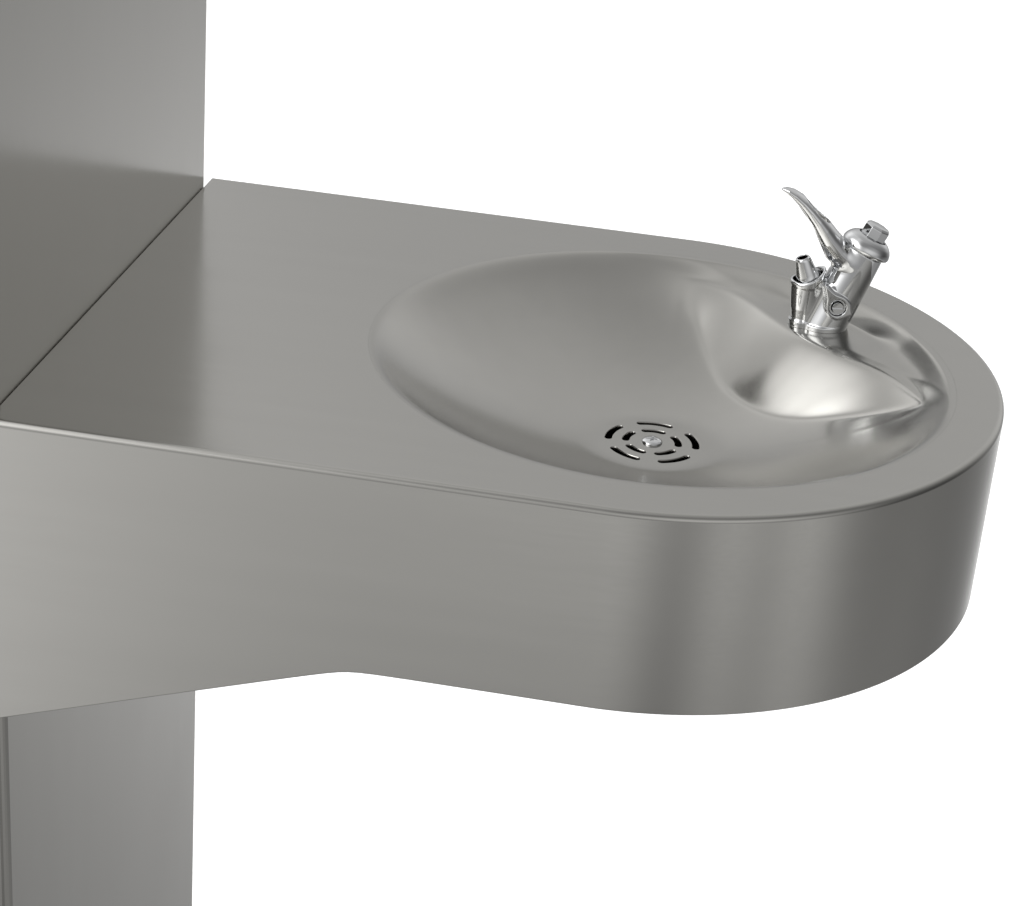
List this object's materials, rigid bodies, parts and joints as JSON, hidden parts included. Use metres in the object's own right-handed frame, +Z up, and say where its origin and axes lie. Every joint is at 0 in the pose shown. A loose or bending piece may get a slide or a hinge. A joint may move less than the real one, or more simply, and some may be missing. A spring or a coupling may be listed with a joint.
{
  "type": "pedestal drinking fountain",
  "caption": "Stainless pedestal drinking fountain: a box column carries a round-ended arm with a pressed basin, drain and a push-button bubbler.",
  "frame": {"origin": "centre of the base plate underside, on the floor", "axes": "+Z up, +X out along the arm from the column, +Y to the side the bubbler stands on"},
  "size_m": [0.7961, 0.3938, 1.1176],
  "materials": {
    "satin_steel": "satin brushed stainless sheet, fine straight grain",
    "sheet_steel": "mill finish stainless sheet",
    "plate_steel": "bead blasted steel plate",
    "zinc_steel": "zinc plated fasteners",
    "chrome": "polished chrome plate",
    "brass": "turned brass",
    "copper": "drawn copper tube",
    "spring_steel": "drawn spring wire",
    "black_rubber": "matt black rubber",
    "white_plastic": "moulded acetal",
    "red_plastic": "dipped vinyl lever"
  },
  "bodies": {
    "frame": {"base_plate": "plate_steel", "arm_root_plate": "plate_steel", "column_backing_plate": "plate_steel", "anchor_bolt_1": "zinc_steel", "anchor_bolt_2": "zinc_steel", "anchor_bolt_3": "zinc_steel", "anchor_bolt_4": "zinc_steel", "root_bolt_1": "zinc_steel", "root_bolt_2": "zinc_steel", "root_bolt_3": "zinc_steel", "root_bolt_4": "zinc_steel", "column_shell": "satin_steel", "column_cap": "satin_steel", "access_panel": "satin_steel", "arm_shell": "satin_steel", "basin_bowl": "satin_steel", "arm_underplate": "sheet_steel", "access_screw_1": "chrome", "access_screw_2": "chrome", "access_screw_3": "chrome", "access_screw_4": "chrome", "underplate_screw_1": "chrome", "underplate_screw_2": "chrome", "underplate_screw_3": "chrome", "underplate_screw_4": "chrome", "strainer_screw": "chrome", "waste_arm": "chrome", "waste_trap": "chrome", "waste_riser": "chrome", "slip_nut_upper": "chrome", "slip_nut_lower": "chrome", "bubbler_body": "chrome", "bubbler_nozzle": "chrome", "bonnet": "chrome", "root_gasket": "black_rubber", "drain_gasket": "black_rubber", "bubbler_gasket": "black_rubber", "bubbler_washer": "black_rubber", "drain_body": "brass", "stop_valve": "brass", "supply_nut": "brass", "bubbler_locknut": "brass", "supply_inlet": "copper", "supply_tube": "copper", "button_spring": "spring_steel", "valve_cartridge": "white_plastic"},
    "button": {"push_button": "chrome", "valve_stem": "brass"},
    "regulator": {"regulator_screw": "chrome"},
    "stop_lever": {"stop_handle": "red_plastic"}
  },
  "joints": [
    {"name": "button_press", "type": "slide", "parent": "frame", "child": "button", "axis": [-0.3929, -0.1053, -0.9135], "range_m": [0, 0.003], "stiffness_N_per_m": 1500, "springref_m": -0.003, "deforming": ["button_spring"]},
    {"name": "regulator_turn", "type": "hinge", "parent": "frame", "child": "regulator", "pos_m": [0.52456, 0.08201, 0.8579], "axis": [0.2588, -0.9659, 0], "range_deg": [0, 180]},
    {"name": "stop_lever_turn", "type": "hinge", "parent": "frame", "child": "stop_lever", "pos_m": [-0.09, 0.09269, 0.3], "axis": [-1, 0, 0], "range_deg": [0, 90]}
  ]
}
